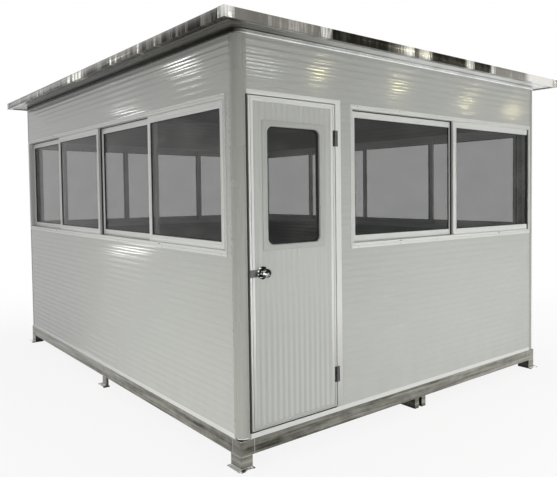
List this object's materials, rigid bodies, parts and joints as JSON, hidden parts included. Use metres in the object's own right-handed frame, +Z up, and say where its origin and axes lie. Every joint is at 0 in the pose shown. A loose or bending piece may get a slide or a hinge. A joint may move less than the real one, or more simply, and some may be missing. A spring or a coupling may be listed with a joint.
{
  "type": "security guard booth",
  "caption": "Rectangular prefabricated guard booth on a steel base with feet, sandwich panel walls, sliding window bands, hinged glazed door and flat overhanging roof.",
  "frame": {"origin": "on the ground, under the middle of the plan", "axes": "+Z up, +X along the door face to its right seen from outside, +Y from the door face to the back"},
  "size_m": [3.296, 4.646, 2.567],
  "materials": {
    "galvanised_steel": "brushed stainless box section, satin",
    "foot_plate": "plain steel plate",
    "wall_panel": "light grey coated sheet, satin",
    "post_metal": "grey coated steel, satin",
    "window_metal": "anodised aluminium, satin",
    "door_metal": "anodised aluminium, satin",
    "roof_sheet": "light grey coated sheet",
    "fascia_metal": "polished stainless sheet",
    "glass": "clear float glass",
    "dark_metal": "black coated steel",
    "knob_metal": "polished chrome",
    "floor_board": "sheet floor"
  },
  "bodies": {
    "booth": {"corner_legs": "galvanised_steel", "frame_corners": "galvanised_steel", "middle_feet": "galvanised_steel", "base_beams": "galvanised_steel", "floor_joists": "galvanised_steel", "floor_panel": "floor_board", "wall_tracks": "window_metal", "corner_posts": "post_metal", "front_upper_panel": "wall_panel", "front_pier": "wall_panel", "front_lower_panel": "wall_panel", "back_upper_panel": "wall_panel", "back_lower_panel": "wall_panel", "left_upper_panel": "wall_panel", "left_lower_panel": "wall_panel", "left_front_strip": "wall_panel", "right_upper_panel": "wall_panel", "right_lower_panel": "wall_panel", "right_front_strip": "wall_panel", "front_window_frame": "window_metal", "front_window_sashes": "window_metal", "front_window_glass": "glass", "back_window_frame": "window_metal", "back_window_sashes": "window_metal", "back_window_glass": "glass", "left_window_frame": "window_metal", "left_window_sashes": "window_metal", "left_window_glass": "glass", "right_window_frame": "window_metal", "right_window_sashes": "window_metal", "right_window_glass": "glass", "cornice": "fascia_metal", "roof_panel": "roof_sheet", "roof_fascia": "fascia_metal", "fascia_corner_caps": "fascia_metal", "door_frame": "door_metal", "hinge_jamb_halves": "dark_metal"},
    "door": {"door_leaf_frame": "door_metal", "door_leaf_panel": "wall_panel", "door_glass": "glass", "door_window_trim": "door_metal", "knob_roses": "knob_metal", "latch_guard": "dark_metal", "hinge_door_halves": "dark_metal"},
    "knob": {"door_knobs": "knob_metal"}
  },
  "joints": [
    {"name": "door_hinge", "type": "hinge", "parent": "booth", "child": "door", "pos_m": [-0.787, -2.181, 1.17], "axis": [0, 0, 1], "range_deg": [0, 110]},
    {"name": "knob_turn", "type": "hinge", "parent": "door", "child": "knob", "pos_m": [-1.337, -2.155, 1.12], "axis": [0, -1, 0], "range_deg": [-50, 50], "stiffness_Nm_per_rad": 0.5}
  ]
}
